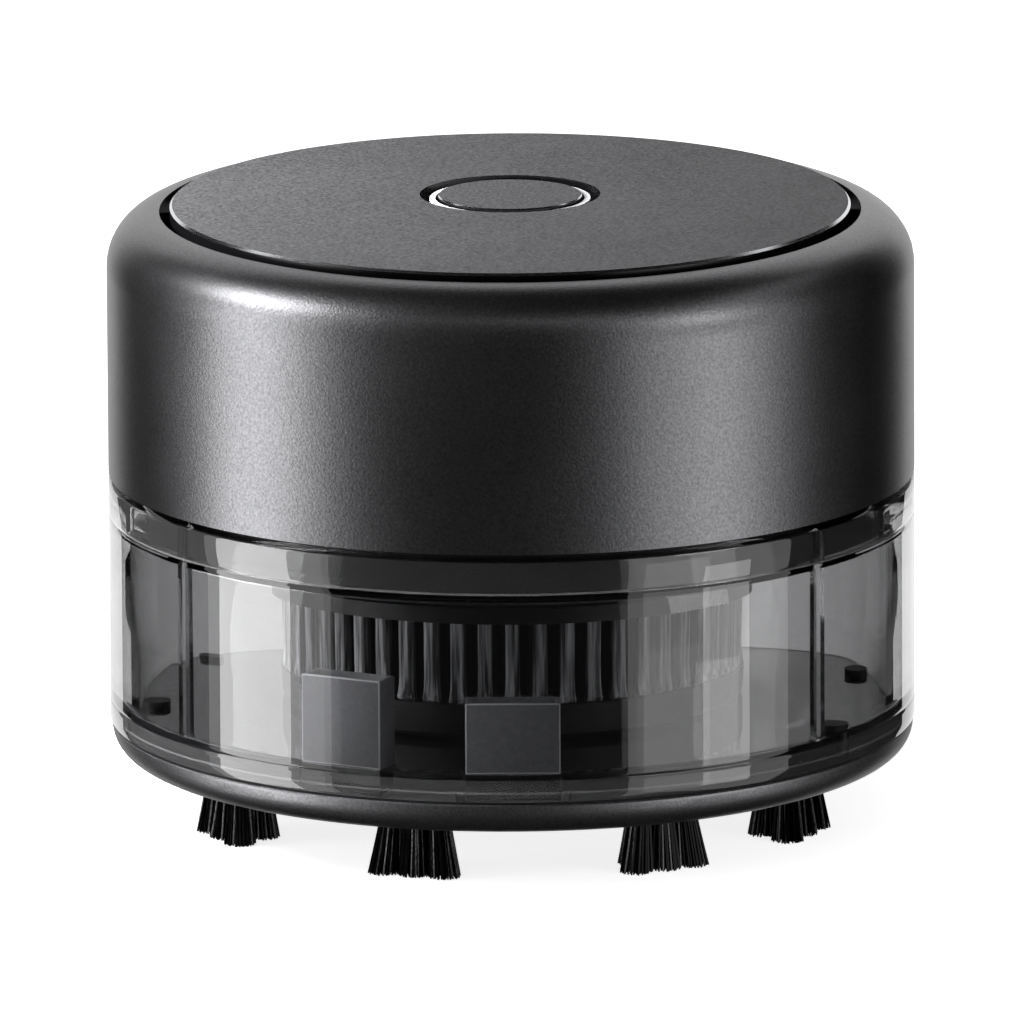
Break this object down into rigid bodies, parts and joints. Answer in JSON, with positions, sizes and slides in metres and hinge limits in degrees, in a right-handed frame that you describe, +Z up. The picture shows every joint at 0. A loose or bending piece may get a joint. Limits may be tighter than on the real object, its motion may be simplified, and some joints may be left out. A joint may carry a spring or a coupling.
{
  "type": "desktop mini vacuum cleaner",
  "caption": "Round battery desktop vacuum: dark housing with a flush top plate and round power button over a clear smoky dust cup with pleated filter, standing on bristle tufts.",
  "frame": {"origin": "centre of the bounding box's bottom face: on the vacuum's axis, in the plane of the brush tips that it stands on", "axes": "+Z up along the axis from the brushes to the button; the front is -Y and the USB-C socket faces +Y; +X is to the right seen from the front"},
  "size_m": [0.084, 0.084, 0.0642],
  "materials": {
    "clear_smoke": "clear smoky moulded plastic",
    "dark_satin": "satin gunmetal with a fine texture",
    "grey_matte": "matte, fine texture",
    "black_plastic": "moulded",
    "grey_insert": "moulded",
    "bristle": "nylon bristle",
    "light_guide": "frosted",
    "seal_rubber": "matte",
    "steel": "satin",
    "ferrite": "sintered",
    "bronze": "sintered",
    "battery_wrap": "shrink wrap",
    "foam": "foam",
    "circuit_board": "solder mask",
    "fan_plastic": "moulded",
    "copper": "enamelled wire",
    "filter_paper": "pleated paper"
  },
  "bodies": {
    "dust_cup": {"dust_cup": "clear_smoke", "base_plate": "dark_satin", "base_rivets": "black_plastic", "inlet_duct_front": "grey_insert", "inlet_duct_left": "grey_insert", "inlet_duct_back": "grey_insert", "inlet_duct_right": "grey_insert", "brush_01": "bristle", "brush_02": "bristle", "brush_03": "bristle", "brush_04": "bristle", "brush_05": "bristle", "brush_06": "bristle", "brush_07": "bristle", "brush_08": "bristle"},
    "housing": {"housing_shell": "dark_satin", "top_plate": "grey_matte", "light_ring": "light_guide", "chassis": "black_plastic", "chassis_screws": "steel", "cup_seal": "seal_rubber", "fan_housing": "black_plastic", "motor_can": "steel", "motor_magnets": "ferrite", "motor_end_cap": "black_plastic", "motor_bushes": "bronze", "motor_screws": "steel", "battery_left": "battery_wrap", "battery_right": "battery_wrap", "battery_pads": "foam", "button_board": "circuit_board", "tact_switch": "black_plastic", "indicator_leds": "light_guide", "board_screws": "steel", "charge_board": "circuit_board", "usb_socket": "steel"},
    "button": {"button_cap": "grey_matte", "switch_plunger": "black_plastic"},
    "rotor": {"motor_shaft": "steel", "impeller": "fan_plastic", "armature_core": "steel", "armature_coils": "copper", "commutator": "copper"},
    "filter": {"filter_frame": "black_plastic", "filter_pleats": "filter_paper", "filter_core": "black_plastic", "filter_end_cap": "black_plastic"}
  },
  "joints": [
    {"name": "housing_lift", "type": "slide", "parent": "dust_cup", "child": "housing", "axis": [0, 0, 1], "range_m": [0, 0.03]},
    {"name": "power_button", "type": "slide", "parent": "housing", "child": "button", "axis": [0, 0, -1], "range_m": [0, 0.0008], "stiffness_N_per_m": 1500},
    {"name": "rotor_spin", "type": "hinge", "parent": "housing", "child": "rotor", "pos_m": [0, 0, 0.045], "axis": [0, 0, 1], "continuous": true},
    {"name": "filter_twist", "type": "hinge", "parent": "housing", "child": "filter", "pos_m": [0, 0, 0.028], "axis": [0, 0, 1], "range_deg": [0, 22]}
  ]
}
